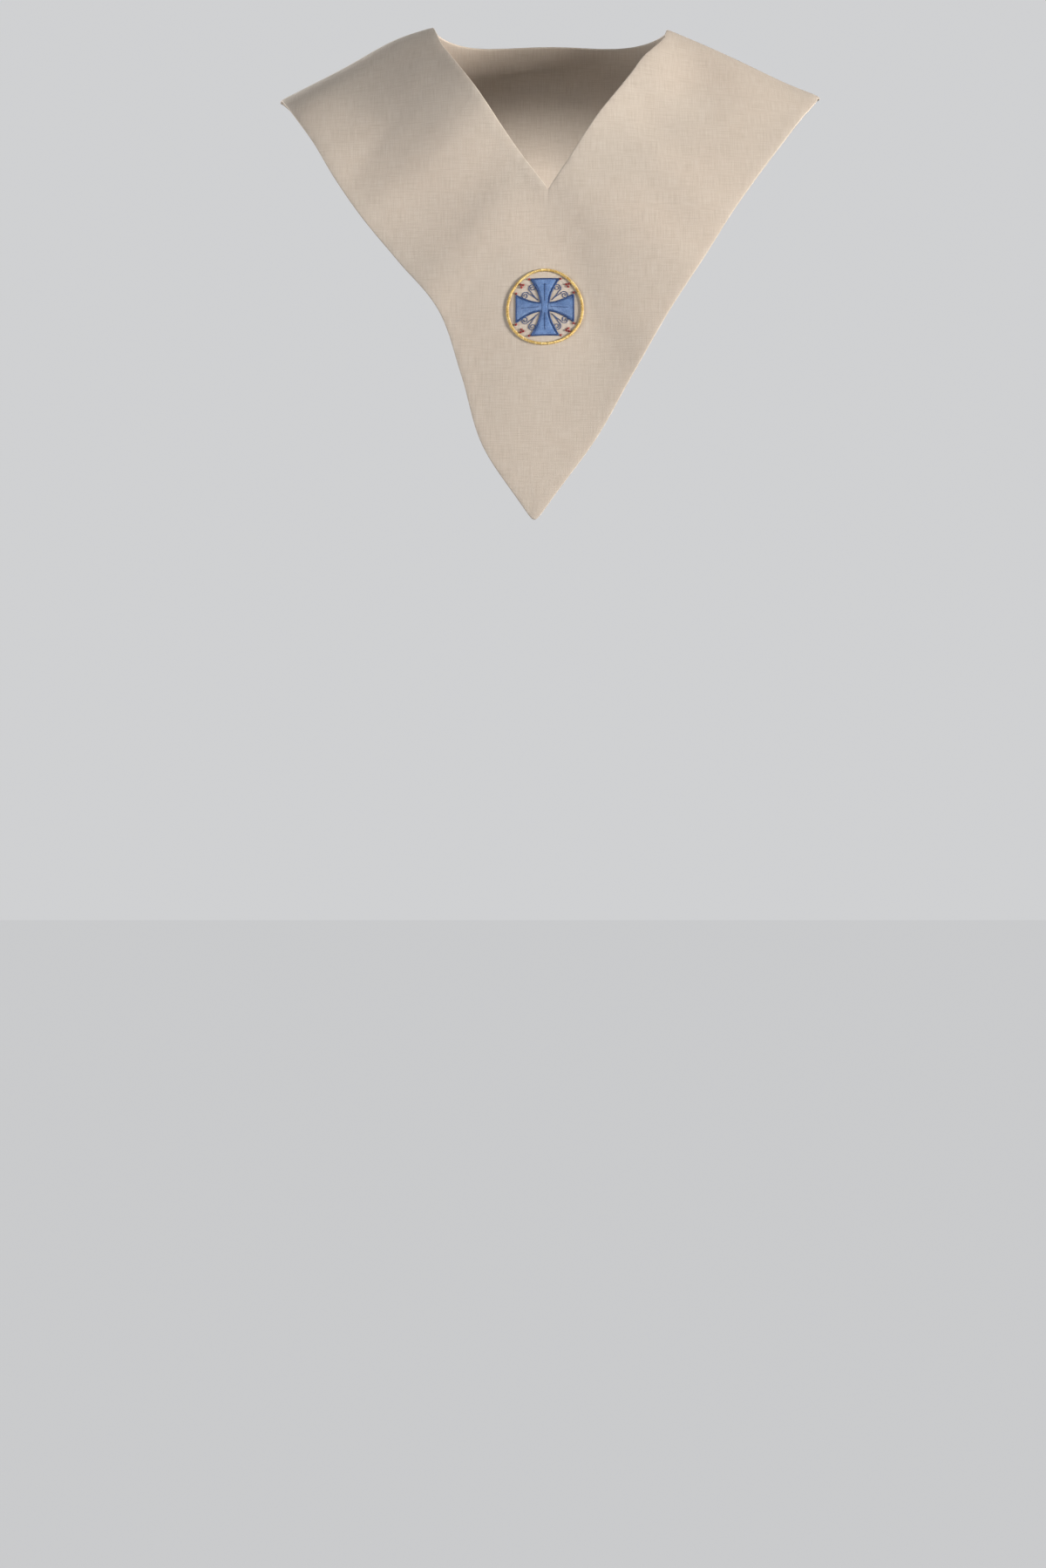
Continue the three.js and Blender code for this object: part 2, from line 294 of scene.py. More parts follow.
def cloth_face(facing, reach, stands, folds, creases):
    """Returns face(across, drop), which gives points and unit normals as arrays with x, y, z last."""

    def bare(across, drop):
        """(across, facing * (reach + settled * stands + gap / 2), shoulder line + puffs - drop)"""
        out = reach(across, drop) + settled(drop) * stand_off(stands, across, drop) + SEAM_GAP / 2
        up = shoulder_line(across) + puff_height(across, drop) - drop
        return np.stack([across, facing * out, up], axis=-1)

    def normal_of(surface, across, drop):
        """Unit of (surface's step downward) x (its step to the right), turned outward."""
        aside = surface(across + STEP_ACROSS, drop) - surface(across - STEP_ACROSS, drop)
        down = surface(across, drop + STEP_DROP) - surface(across, drop)
        normal = -facing * np.cross(down, aside)
        return normal / np.linalg.norm(normal, axis=-1, keepdims=True)

    def folded(across, drop):
        """bare + normal * (settled * (folds + creases + ripples) - groove)"""
        relief = fold_height(folds, across, drop) + fold_height(creases, across, drop)
        relief = settled(drop) * (relief + ripple_height(across, drop))
        groove = GROOVE_DEEP * np.exp(-((reach(across, drop) / GROOVE_WIDE) ** 2))
        normal = normal_of(bare, across, drop)
        return bare(across, drop) + normal * (relief - groove)[..., None]

    def smooth(across, drop):
        """folded without its groove, for the normals"""
        relief = fold_height(folds, across, drop) + fold_height(creases, across, drop)
        relief = settled(drop) * (relief + ripple_height(across, drop))
        return bare(across, drop) + normal_of(bare, across, drop) * relief[..., None]

    def face(across, drop):
        """Points of the folded surface and the normals of the smooth one."""
        return folded(across, drop), normal_of(smooth, across, drop)

    return face


front_face = cloth_face(-1, front_reach, FRONT_STANDS, FRONT_FOLDS, FRONT_CREASES)
back_face = cloth_face(1, back_reach, BACK_STANDS, BACK_FOLDS, BACK_CREASES)
below_notch, _ = front_face(np.zeros(1), np.array([NOTCH_DROP]))
print("the outer face at the notch's drop, in millimetres:", below_notch[0].round(1))

# %% [markdown]
# The edges are the cut's outline as it lies on the shoulders. In front they follow the photograph and
# aren't quite alike on the two sides, so each has a column in a short table, from the shoulder seam at
# station 0 to the centre front at station 1. A cubic runs smoothly through the rows. The back can't be
# seen, so its outline is plain: half an ellipse round the neck, and a slightly hollow line from each tip to
# the point.

# %% Outline of the panels
FRONT_COLUMNS = ["neck_right", "hem_right", "neck_left", "hem_left"]
FRONT_SECTIONS = np.array(
    [
        (94.0, 217.0, -94.0, -217.0),
        (92.6, 210.8, -92.3, -210.8),
        (90.0, 198.0, -89.3, -199.9),
        (82.6, 182.0, -85.4, -184.9),
        (73.0, 162.5, -78.1, -168.5),
        (64.4, 140.6, -69.5, -147.0),
        (53.7, 117.6, -59.2, -118.8),
        (40.6, 91.0, -47.7, -87.0),
        (27.3, 63.6, -35.0, -69.4),
        (13.8, 32.6, -19.9, -52.0),
        (-2.0, -13.0, -2.0, -13.0),
    ]
)


def front_column(name, station):
    """Cubic Hermite through the table's rows, with slopes from the rows on each side."""
    values = FRONT_SECTIONS[:, FRONT_COLUMNS.index(name)]
    slopes = np.gradient(values)
    last = len(values) - 1
    row = np.minimum(np.floor(station * last), last - 1).astype(int)
    part = station * last - row
    start = (1 + 2 * part) * (1 - part) ** 2 * values[row] + part * (1 - part) ** 2 * slopes[row]
    end = part**2 * (3 - 2 * part) * values[row + 1] - part**2 * (1 - part) * slopes[row + 1]
    return start + end


def hem_drop(depth, station):
    """depth * station^power + blunt * station * (1 - exp(-(1 - station) * depth * power / blunt))"""
    rounded = 1 - np.exp(-(1 - station) * depth * DROP_POWER / POINT_BLUNT)
    return depth * station**DROP_POWER + POINT_BLUNT * station * rounded


def front_place(turn, share):
    """Across and drop for turn 0 to 2, right seam to left seam, and share 0 to 1, neckline to hem."""
    station = 1 - np.abs(turn - 1)
    right = turn <= 1
    neck = np.where(right, front_column("neck_right", station), front_column("neck_left", station))
    hem = np.where(right, front_column("hem_right", station), front_column("hem_left", station))
    neck_drop = NOTCH_DROP * station**DROP_POWER
    return neck + (hem - neck) * share, neck_drop + (hem_drop(POINT_DROP, station) - neck_drop) * share


def back_place(turn, share):
    """The same for the back, from the left seam to the right one."""
    station = 1 - np.abs(turn - 1)
    side = np.where(turn <= 1, -1.0, 1.0)
    grown = station**DROP_POWER
    angle = station * np.pi / 2
    neck = side * NECK_HALF * np.cos(angle)
    neck_drop = (NAPE_REACH * np.sin(angle) / back_roll(neck)) ** 2
    hem = side * (TIP_HALF * (1 - grown) - BACK_HEM_HOLLOW * np.sin(np.pi * np.sqrt(grown)))
    return neck + (hem - neck) * share, neck_drop + (hem_drop(BACK_POINT_DROP, station) - neck_drop) * share


_, point_drop = front_place(np.ones(1), np.ones(1))
print(f"the point in front lies {point_drop[0]:.0f} mm below the line of the shoulders")


# %% [markdown]
# A mesh is made from whole arrays. This helper turns points in millimetres and faces given by their
# corners' numbers into an object at the origin, and can lay a map of two coordinates over it.


# %% From arrays to a mesh
def make_piece(name, points, faces, material, uv=None):
    """An object named name, with its place in its mesh, shaded smooth."""
    mesh = bpy.data.meshes.new(name)
    mesh.from_pydata((points / METRE).tolist(), [], faces)
    mesh.polygons.foreach_set("use_smooth", np.ones(len(mesh.polygons), bool))
    if uv is not None:
        corner = np.zeros(len(mesh.loops), int)
        mesh.loops.foreach_get("vertex_index", corner)
        layer = mesh.uv_layers.new(name="weave")
        layer.uv.foreach_set("vector", uv[corner].astype(np.float32).ravel())
    mesh.materials.append(material)
    mesh.validate()
    piece = bpy.data.objects.new(name, mesh)
    bpy.context.collection.objects.link(piece)
    print(f"{name}: {len(mesh.vertices)} vertices, {len(mesh.polygons)} faces")
    return piece


# %% [markdown]
# Linen is a plain weave of uneven threads. Its look comes from three scales: single threads that cross over
# and under, threads that are thicker or paler for a stretch, which makes short streaks along both
# directions, and a slow drift of tone over the whole cloth. The pattern reads the piece's own map, so it
# follows the cloth round its folds. The map is in metres of the flat cut, and the straight grain runs down
# the centre front.

# %% Small helpers for materials
def new_material(name):
    """A material with nothing in it but a shader and an output."""
    material = bpy.data.materials.new(name)
    material.use_nodes = True
    tree = material.node_tree
    tree.nodes.clear()
    shader = tree.nodes.new("ShaderNodeBsdfPrincipled")
    output = tree.nodes.new("ShaderNodeOutputMaterial")
    tree.links.new(shader.outputs["BSDF"], output.inputs["Surface"])
    return material, tree, shader


def feed(tree, node, **inputs):
    """Links or sets a node's inputs, by their position in the node, as i0, i1 and so on."""
    for key, value in inputs.items():
        socket = node.inputs[int(key[1:])]
        if isinstance(value, bpy.types.NodeSocket):
            tree.links.new(value, socket)
        else:
            socket.default_value = value
    return node.outputs[0]


def maths(tree, operation, first, second=0.0):
    """One step of arithmetic."""
    node = tree.nodes.new("ShaderNodeMath")
    node.operation = operation
    return feed(tree, node, i0=first, i1=second)


def streaks(tree, vector, scale, detail=2.0):
    """Noise stretched by a mapping's scale, about 0.5 on average."""
    mapping = tree.nodes.new("ShaderNodeMapping")
    mapping.inputs["Scale"].default_value = scale
    tree.links.new(vector, mapping.inputs["Vector"])
    noise = tree.nodes.new("ShaderNodeTexNoise")
    noise.inputs["Scale"].default_value = 1.0
    noise.inputs["Detail"].default_value = detail
    tree.links.new(mapping.outputs["Vector"], noise.inputs["Vector"])
    return noise.outputs["Fac"]


def blend_colours(tree, share, first, second):
    """Mixes two colours by a share."""
    node = tree.nodes.new("ShaderNodeMix")
    node.data_type = "RGBA"
    for socket, value in ((node.inputs[0], share), (node.inputs[6], first), (node.inputs[7], second)):
        if isinstance(value, bpy.types.NodeSocket):
            tree.links.new(value, socket)
        else:
            socket.default_value = value
    return node.outputs[2]


def ranged(tree, value, low, high, to_low, to_high):
    """Maps a value from one range to another, held at the ends."""
    node = tree.nodes.new("ShaderNodeMapRange")
    return feed(tree, node, i0=value, i1=low, i2=high, i3=to_low, i4=to_high)


def add_bump(tree, shader, relief, strength, metres):
    """Tilts the shader's normal by a height, of which 1 stands for a depth in metres."""
    bump = tree.nodes.new("ShaderNodeBump")
    bump.inputs["Strength"].default_value = strength
    bump.inputs["Distance"].default_value = metres
    tree.links.new(relief, bump.inputs["Height"])
    tree.links.new(bump.outputs["Normal"], shader.inputs["Normal"])


# %% [markdown]
# For the weave, the sines of the two thread counts are multiplied. The product is above zero where a warp
# thread lies on top and below zero where a weft thread does, and the height follows the round of the thread
# that is on top.

# %% Weave
THREADS_PER_METRE = 1500.0
THREAD_ROUND = 0.4  # power of the sine along a thread, lower where it stays high for longer


def weave_height(tree, across, down):
    """Height of a plain weave: |sin u|^a * |sin v|^b, a and b swapped where the other thread is on top."""
    wave_u = maths(tree, "SINE", maths(tree, "MULTIPLY", across, THREADS_PER_METRE * math.pi))
    wave_v = maths(tree, "SINE", maths(tree, "MULTIPLY", down, THREADS_PER_METRE * math.pi))
    size_u = maths(tree, "ABSOLUTE", wave_u)
    size_v = maths(tree, "ABSOLUTE", wave_v)
    warp = maths(tree, "MULTIPLY", size_u, maths(tree, "POWER", size_v, THREAD_ROUND))
    weft = maths(tree, "MULTIPLY", size_v, maths(tree, "POWER", size_u, THREAD_ROUND))
    warp_on_top = maths(tree, "GREATER_THAN", maths(tree, "MULTIPLY", wave_u, wave_v), 0.0)
    weft_on_top = maths(tree, "SUBTRACT", 1.0, warp_on_top)
    warp_shows = maths(tree, "MULTIPLY", warp, warp_on_top)
    weft_shows = maths(tree, "MULTIPLY", weft, weft_on_top)
    return maths(tree, "ADD", warp_shows, weft_shows)


print(f"one thread every {METRE / THREADS_PER_METRE:.2f} mm")

# %% [markdown]
# Linen yarn is spun unevenly. Some of its threads swell into slubs, and paler and darker streaks run both
# ways. A picture of cloth would show them too, but it repeats, and it blurs close up. Noise that is
# stretched along the threads never repeats, and it blends the tones in a few faint steps.

# %% Slubs, streaks and tones
SLUBS_PER_METRE = 70.0
STREAKS_ACROSS = 420.0  # streaks in a metre across them, and along them
STREAKS_ALONG = 24.0
DRIFTS_PER_METRE = 9.0
DRIFT_LOW = 0.35
DRIFT_HIGH = 0.65
# Painted shade: the colour darkens where the weave is low, in the gaps between the threads.
GAP_SHADE_TOP = 0.55  # height of the weave below which it darkens towards the gaps
GAP_SHADE_DARK = 0.42
# Painted highlight along the edge: the linen is paler within these millimetres of the edge and on the
# rolls.
EDGE_HIGHLIGHT_FULL = 0.2  # millimetres from the edge
EDGE_HIGHLIGHT_ENDS = 1.6
EDGE_HIGHLIGHT_PALE = 0.15
LINEN = (0.605, 0.518, 0.430, 1)
LINEN_DARK = (0.520, 0.432, 0.345, 1)
LINEN_PALE = (0.675, 0.595, 0.508, 1)
LINEN_WARM = (0.620, 0.510, 0.415, 1)
STREAK_TONES = [  # pattern, noise where its tone starts, noise where it is full, tone, most of it
    ("warp slubs", 0.50, 0.74, LINEN_PALE, 0.70),
    ("weft slubs", 0.50, 0.74, LINEN_PALE, 0.60),
    ("warp slubs", 0.48, 0.28, LINEN_DARK, 0.60),
    ("weft slubs", 0.48, 0.28, LINEN_DARK, 0.60),
    ("long streaks", 0.54, 0.76, LINEN_PALE, 0.28),
    ("cross streaks", 0.54, 0.76, LINEN_DARK, 0.22),
]


def linen_patterns(tree, flat):
    """Slubs and streaks along both directions: noise on the map, stretched along the threads."""
    scales = {
        "warp slubs": (THREADS_PER_METRE, SLUBS_PER_METRE, 1.0),
        "weft slubs": (SLUBS_PER_METRE, THREADS_PER_METRE, 1.0),
        "long streaks": (STREAKS_ACROSS, STREAKS_ALONG, 1.0),
        "cross streaks": (STREAKS_ALONG, STREAKS_ACROSS, 1.0),
    }
    return {name: streaks(tree, flat, scale) for name, scale in scales.items()}


def linen_colour(tree, patterns, height):
    """A drifting tone, then slubs and streaks over it, painted shade in the gaps of the weave and a painted
    highlight along the edge.
    """
    place = tree.nodes.new("ShaderNodeTexCoord").outputs["Object"]
    drift = streaks(tree, place, (DRIFTS_PER_METRE,) * 3, 3.0)
    warm = ranged(tree, drift, DRIFT_LOW, DRIFT_HIGH, 0.0, 1.0)
    colour = blend_colours(tree, warm, LINEN, LINEN_WARM)
    for name, starts, full, tone, most in STREAK_TONES:
        share = ranged(tree, patterns[name], starts, full, 0.0, most)
        colour = blend_colours(tree, share, colour, tone)
    # painted shade in the gaps between the threads, darker where the weave is lower
    gap = ranged(tree, height, 0.0, GAP_SHADE_TOP, GAP_SHADE_DARK, 0.0)
    colour = blend_colours(tree, gap, colour, LINEN_DARK)
    # painted highlight: paler towards the edge, and fully pale on the rolls, where from_edge is 0
    edge = tree.nodes.new("ShaderNodeAttribute")
    edge.attribute_name = "from_edge"
    edge_highlight = ranged(tree, edge.outputs["Fac"], EDGE_HIGHLIGHT_FULL, EDGE_HIGHLIGHT_ENDS, EDGE_HIGHLIGHT_PALE, 0.0)
    return blend_colours(tree, edge_highlight, colour, LINEN_PALE)


print("steps of tone in the linen:", len(STREAK_TONES))

# %% [markdown]
# The height of the weave and of its slubs only tilts the shader's normal, which is enough for threads this
# fine, where real ones as a mesh would be far too heavy. Linen is matt, with a soft sheen at a low angle
# from the loose fibres on its surface.

# %% Linen
SLUB_RELIEF = 0.9
LINEN_BUMP = 0.55
LINEN_BUMP_METRES = 0.00016


def make_linen():
    """Plain weave linen: height of the weave plus slubs as relief, its colours, and a matt sheen."""
    material, tree, shader = new_material("linen")
    flat = tree.nodes.new("ShaderNodeUVMap")
    flat.uv_map = "weave"
    parts = tree.nodes.new("ShaderNodeSeparateXYZ")
    tree.links.new(flat.outputs["UV"], parts.inputs["Vector"])
    height = weave_height(tree, parts.outputs["X"], parts.outputs["Y"])
    patterns = linen_patterns(tree, flat.outputs["UV"])
    tree.links.new(linen_colour(tree, patterns, height), shader.inputs["Base Color"])
    relief = height
    for name in ("warp slubs", "weft slubs"):
        relief = maths(tree, "ADD", relief, maths(tree, "MULTIPLY", patterns[name], SLUB_RELIEF))
    add_bump(tree, shader, relief, LINEN_BUMP, LINEN_BUMP_METRES)
    shader.inputs["Roughness"].default_value = 0.88
    shader.inputs["Specular IOR Level"].default_value = 0.25
    shader.inputs["Sheen Weight"].default_value = 0.22
    shader.inputs["Sheen Roughness"].default_value = 0.45
    shader.inputs["Sheen Tint"].default_value = (0.95, 0.9, 0.82, 1)
    return material


linen = make_linen()
print("shader nodes in the linen:", len(linen.node_tree.nodes))

# %% [markdown]
# Each panel is two layers, so its mesh is a closed loop carried from seam to seam: down the outer face from
# the neckline to the hem, round a small roll, up the inner face, and round the roll at the neckline. A
# plain sheet with a Solidify modifier would have square edges; the roll is what makes the edge of turned
# cloth look soft. Along each edge the seam allowance inside makes a band about nine millimetres wide that
# is barely thicker, the iron has pressed the edge itself flatter, and the seam draws it up in tiny puckers.

# %% Columns, edges and the allowance
ALLOWANCE_WIDE = 9.0
ALLOWANCE_HIGH = 0.12
ALLOWANCE_SOFT = 0.9
PUCKERS = [(0.07, 15.5, 0.3), (0.05, 9.7, 2.0), (0.05, 23.0, 4.4)]  # height, length, start
PUCKER_REACH = 6.0
PRESSED = 0.22
PRESSED_WIDE = 2.0
STEEPEST = 40.0  # keeps the allowance's exponential in range
SEAM_REACHES = [0.0, 0.25, 0.55, 0.9, 1.35, 2.0]  # extra columns at these reaches from a seam
POINT_COLUMNS = [0.0009, 0.0019, 0.0031, 0.0045, 0.0085]  # and at these turns from the point
POINT_TURNS = 0.009  # the edge's rate is carried across the point within this
LEAST_RATE = 40.0  # millimetres that a share of 1 covers, at least
SMALL_SHARE = 1e-3  # step inward that shows which way an edge faces
SHORTEST = 1e-9  # keeps the division by a length in range


def even_shares(count):
    """Shares from 0 to 1 that lie closer together near both ends: half even, half 0.5 - 0.5 cos(pi k)."""
    even = np.linspace(0, 1, count)
    return 0.5 * even + 0.5 * (0.5 - 0.5 * np.cos(np.pi * even))


def panel_turns(columns):
    """Turns from 0 to 2: even, with extra columns for the groove of a seam and the round of the point."""
    longest = FRONT_ROLL * math.sqrt(POINT_DROP)
    by_seam = (np.array(SEAM_REACHES) / longest) ** (2 / DROP_POWER)
    by_point = 1 - np.array(POINT_COLUMNS)
    even = np.linspace(0, 1, columns // 2 + 1)[1:]
    half = np.unique(np.concatenate([by_seam, even, by_point]))
    return np.concatenate([half, 2 - half[-2::-1]])


def unit(vectors):
    """Vectors divided by their length."""
    return vectors / np.maximum(np.linalg.norm(vectors, axis=-1, keepdims=True), SHORTEST)


def edge_facts(place, face, turns, share):
    """Outward direction across an edge, how fast the share moves towards it, and the length along it."""
    inside = abs(share - SMALL_SHARE)
    points, normals = face(*place(turns, np.full_like(turns, share)))
    inner_points, _ = face(*place(turns, np.full_like(turns, inside)))
    along = unit(np.gradient(points, axis=0))
    out = (points - inner_points) / SMALL_SHARE
    out -= (out * normals).sum(-1, keepdims=True) * normals
    outward = unit(out - (out * along).sum(-1, keepdims=True) * along)
    rate = np.maximum((out * outward).sum(-1), LEAST_RATE)
    by_point = np.abs(turns - 1) < POINT_TURNS
    rate[by_point] = np.interp(turns[by_point], turns[~by_point], rate[~by_point])
    length = np.concatenate([[0], np.cumsum(np.linalg.norm(np.diff(points, axis=0), axis=-1))])
    return outward, rate, length


def pucker_height(from_edge, along):
    """exp(-from edge / reach) * sum of height * sin(2 pi along / length + start)"""
    waves = sum(height * np.sin(2 * np.pi * along / length + start) for height, length, start in PUCKERS)
    return waves * np.exp(-from_edge / PUCKER_REACH)


def allowance_height(from_edge):
    """high / (1 + exp((from edge - wide) / soft)) - pressed * exp(-(from edge / pressed wide)^2)"""
    beyond = np.clip((from_edge - ALLOWANCE_WIDE) / ALLOWANCE_SOFT, -STEEPEST, STEEPEST)
    pressed = PRESSED * np.exp(-((from_edge / PRESSED_WIDE) ** 2))
    return ALLOWANCE_HIGH / (1 + np.exp(beyond)) - pressed


FRONT_TURNS = 320
BACK_TURNS = 240
print("columns in front and behind:", len(panel_turns(FRONT_TURNS)), len(panel_turns(BACK_TURNS)))

# %% [markdown]
# On the real panel two layers are sewn face to face and turned right side out, which hides the cut edges
# inside. The turned edge is a small roll, and the threads of the weave run on round it. A bevel would round
# the edge too, but without a map that runs on. Here half an ellipse joins the layers, and the weave's map,
# which is laid out as the flat cut, is carried round it.

# %% The rolls and the flat cut
ROWS = 76
ROLL_STEPS = 8
ROUND_EDGE = 0.8
ROLL_ANGLES = np.pi * np.arange(1, ROLL_STEPS) / ROLL_STEPS


def roll_over(top, bottom, outward):
    """Half an ellipse from top to bottom: middle + cos * half thickness + sin * round edge outward."""
    middle = (top + bottom)[:, None] / 2
    half = (top - bottom)[:, None] / 2
    swing = ROUND_EDGE * np.sin(ROLL_ANGLES)[:, None] * outward[:, None]
    return middle + np.cos(ROLL_ANGLES)[:, None] * half + swing


def layer_area(layer):
    """Sum of the length of (step along) x (step down) over the grid, in square metres."""
    step_turn = np.diff(layer, axis=0)[:, :-1]
    step_share = np.diff(layer, axis=1)[:-1]
    return float(np.linalg.norm(np.cross(step_turn, step_share), axis=-1).sum() / METRE**2)


def flat_map(roll, across, drop):
    """Place in the flat cut, in metres: across, and sqrt(drop^2 + roll^2 drop) below the shoulder."""
    down = np.sqrt(drop**2 + roll**2 * drop) - shoulder_line(across)
    return np.stack([across, down], axis=-1) / METRE


print("steps round each roll:", ROLL_STEPS)

# %% [markdown]
# Two layers and two rolls make a loop at every place along the panel, and the loops are joined from seam to
# seam. They could be built point by point, but whole arrays are quicker and read like the formula. Each
# point also keeps its distance from the nearest edge, which the linen reads to paint a pale highlight along
# the edge and over the rolls.

# %% The doubled cloth
def doubled_cloth(name, place, face, columns, roll):
    """The closed loop of two layers for every turn, as a piece, with the area of one layer."""
    turns = panel_turns(columns)
    neck_out, neck_rate, neck_length = edge_facts(place, face, turns, 0.0)
    hem_out, hem_rate, hem_length = edge_facts(place, face, turns, 1.0)
    first = ROUND_EDGE / neck_rate
    last = 1 - ROUND_EDGE / hem_rate
    shares = first[:, None] + (last - first)[:, None] * even_shares(ROWS)
    across, drop = place(turns[:, None] * np.ones(ROWS), shares)
    points, normals = face(across, drop)
    from_neck = shares * neck_rate[:, None]
    from_hem = (1 - shares) * hem_rate[:, None]
    pucker = pucker_height(from_neck, neck_length[:, None]) + pucker_height(from_hem, hem_length[:, None])
    pucker *= settled(drop)
    swell = allowance_height(from_neck) + allowance_height(from_hem)
    outer = points + normals * (pucker + swell)[..., None]
    inner = points + normals * (pucker - swell - CLOTH)[..., None]
    hem_roll = roll_over(outer[:, -1], inner[:, -1], hem_out)
    neck_roll = roll_over(inner[:, 0], outer[:, 0], neck_out)
    loops = np.concatenate([outer, hem_roll, inner[:, ::-1], neck_roll], axis=1)
    flat = flat_map(roll, across, drop)
    shift = np.array([0.0, ROUND_EDGE * np.pi / METRE])
    turned = (ROLL_ANGLES / np.pi)[:, None] * shift
    maps = [flat, flat[:, -1:] + turned, flat[:, ::-1] + shift, flat[:, :1] + shift - turned]
    uv = np.concatenate(maps, axis=1)
    edge = np.minimum(from_neck, from_hem)
    on_roll = np.zeros((len(turns), ROLL_STEPS - 1))
    from_edge = np.concatenate([edge, on_roll, edge[:, ::-1], on_roll], axis=1)

    count, around = loops.shape[:2]
    column, row = np.meshgrid(np.arange(count - 1), np.arange(around), indexing="ij")
    here = column * around + row
    below = column * around + (row + 1) % around
    quads = np.stack([here, here + around, below + around, below], axis=-1).reshape(-1, 4)
    faces = quads.tolist() + end_caps(count, around)
    piece = make_piece(name, loops.reshape(-1, 3), faces, linen, uv.reshape(-1, 2))
    piece.data.attributes.new("from_edge", "FLOAT", "POINT").data.foreach_set(
        "value", from_edge.astype(np.float32).ravel()
    )
    all_but_caps = np.arange(len(piece.data.polygons)) < len(quads)
    piece.data.polygons.foreach_set("use_smooth", all_but_caps)
    one_layer = layer_area(outer)
    print(f"{name}: one layer is {one_layer:.4f} square metres")
    print(f"{name}: neckline {neck_length[-1]:.0f} mm, hem {hem_length[-1]:.0f} mm")
    return piece, one_layer, uv.reshape(-1, 2)


def end_caps(count, around):
    """Faces that close the loop at both seams: squares between the layers, and one face for each roll."""
    caps = []
    inner_last = ROWS + ROLL_STEPS - 1
    for start, flip in ((0, False), ((count - 1) * around, True)):
        rows = np.arange(ROWS - 1)
        partner = inner_last + ROWS - 1 - rows
        squares = np.stack([rows, rows + 1, partner - 1, partner], axis=-1) + start
        hem = start + np.arange(ROWS - 1, inner_last + 1)
        neck = start + np.append(np.arange(inner_last + ROWS - 1, around), 0)
        ends = squares.tolist() + [hem.tolist(), neck.tolist()]
        caps += [end[::-1] for end in ends] if flip else ends
    return caps


front, front_area, front_map = doubled_cloth(
    "front_cloth", front_place, front_face, FRONT_TURNS, FRONT_ROLL
)
back, back_area, back_map = doubled_cloth("back_cloth", back_place, back_face, BACK_TURNS, BACK_ROLL)

# %% [markdown]
# Each panel rides on the root and takes the place of its part in the solids. The area printed above is that
# of one layer.

def declare_panel(piece, node):
    """Hangs the panel on the root and hides the solid part that it replaces."""
    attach(piece, "root")
    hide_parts(node)


declare_panel(back, "back_panel")

# %% [markdown]
# The emblem is sewn with real threads. All of them are tubes along short paths that lie on the cloth, so
# one helper makes them: a path's points are given as distances to the right and upward from the emblem's
# middle and a height over the cloth, and the tube's section turns with the path and the cloth's normal.

# %% Threads on the cloth
EMBLEM_ACROSS = -4.8
EMBLEM_DROP = 256.0
THREAD_SIDES = 6


def on_front(right, up, height):
    """Points over the front cloth, and the cloth's normals there."""
    points, normals = front_face(EMBLEM_ACROSS + right, EMBLEM_DROP - up)
    return points + normals * height[..., None], normals


def make_threads(name, right, up, height, radius, sides, material, closed=False):
    """Tubes along many paths, each a row of the arrays: centre + radius * (cos * side + sin * normal)."""
    centres, normals = on_front(right, up, height)
    if closed:
        before, after = np.roll(centres, 1, axis=1), np.roll(centres, -1, axis=1)
        along = unit(after - before)
    else:
        along = unit(np.gradient(centres, axis=1))
    side = unit(np.cross(along, normals))
    upward = np.cross(side, along)
    angle = 2 * np.pi * np.arange(sides) / sides
    spoke = np.cos(angle)[:, None] * side[:, :, None] + np.sin(angle)[:, None] * upward[:, :, None]
    radius = np.broadcast_to(radius, right.shape)
    rings = centres[:, :, None] + radius[..., None, None] * spoke
    paths, steps = right.shape
    last = steps if closed else steps - 1
    path, step, corner = np.meshgrid(np.arange(paths), np.arange(last), np.arange(sides), indexing="ij")
    ring = (path * steps + step) * sides
    ahead = (path * steps + (step + 1) % steps) * sides
    beside = (corner + 1) % sides
    quads = np.stack([ring + corner, ahead + corner, ahead + beside, ring + beside], axis=-1)
    faces = quads.reshape(-1, 4).tolist()
    if not closed:
        first = (np.arange(paths) * steps * sides)[:, None] + np.arange(sides)
        faces += first.tolist() + (first + (steps - 1) * sides)[:, ::-1].tolist()
    piece = make_piece(name, rings.reshape(-1, 3), faces, material)
    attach(piece, "root")
    return piece


# %% [markdown]
# Embroidery thread is glossy along its length and its colour varies a little from stitch to stitch. The
# variation reads Object coordinates at a fine scale, so each stitch gets a tone of its own.

# %% Thread materials
TONES_PER_METRE = 900.0
SLOW_TONES_PER_METRE = 160.0
TONE_LOW = 0.36
TONE_HIGH = 0.64
FIBRES_PER_METRE = 4200.0
FIBRE_BUMP = 0.4
FIBRE_BUMP_METRES = 0.00006


def make_thread_material(name, deep, light, roughness, metallic):
    """Glossy thread that varies between two tones."""
    material, tree, shader = new_material(name)
    place = tree.nodes.new("ShaderNodeTexCoord").outputs["Object"]
    tone = streaks(tree, place, (TONES_PER_METRE,) * 3, 1.0)
    slow = streaks(tree, place, (SLOW_TONES_PER_METRE,) * 3, 1.0)
    both = maths(tree, "MULTIPLY", maths(tree, "ADD", tone, slow), 0.5)
    colour = blend_colours(tree, ranged(tree, both, TONE_LOW, TONE_HIGH, 0.0, 1.0), deep, light)
    tree.links.new(colour, shader.inputs["Base Color"])
    fibres = streaks(tree, place, (FIBRES_PER_METRE,) * 3)
    add_bump(tree, shader, fibres, FIBRE_BUMP, FIBRE_BUMP_METRES)
    shader.inputs["Roughness"].default_value = roughness
    shader.inputs["Metallic"].default_value = metallic
    shader.inputs["Sheen Weight"].default_value = 0.25
    shader.inputs["Sheen Roughness"].default_value = 0.35
    return material


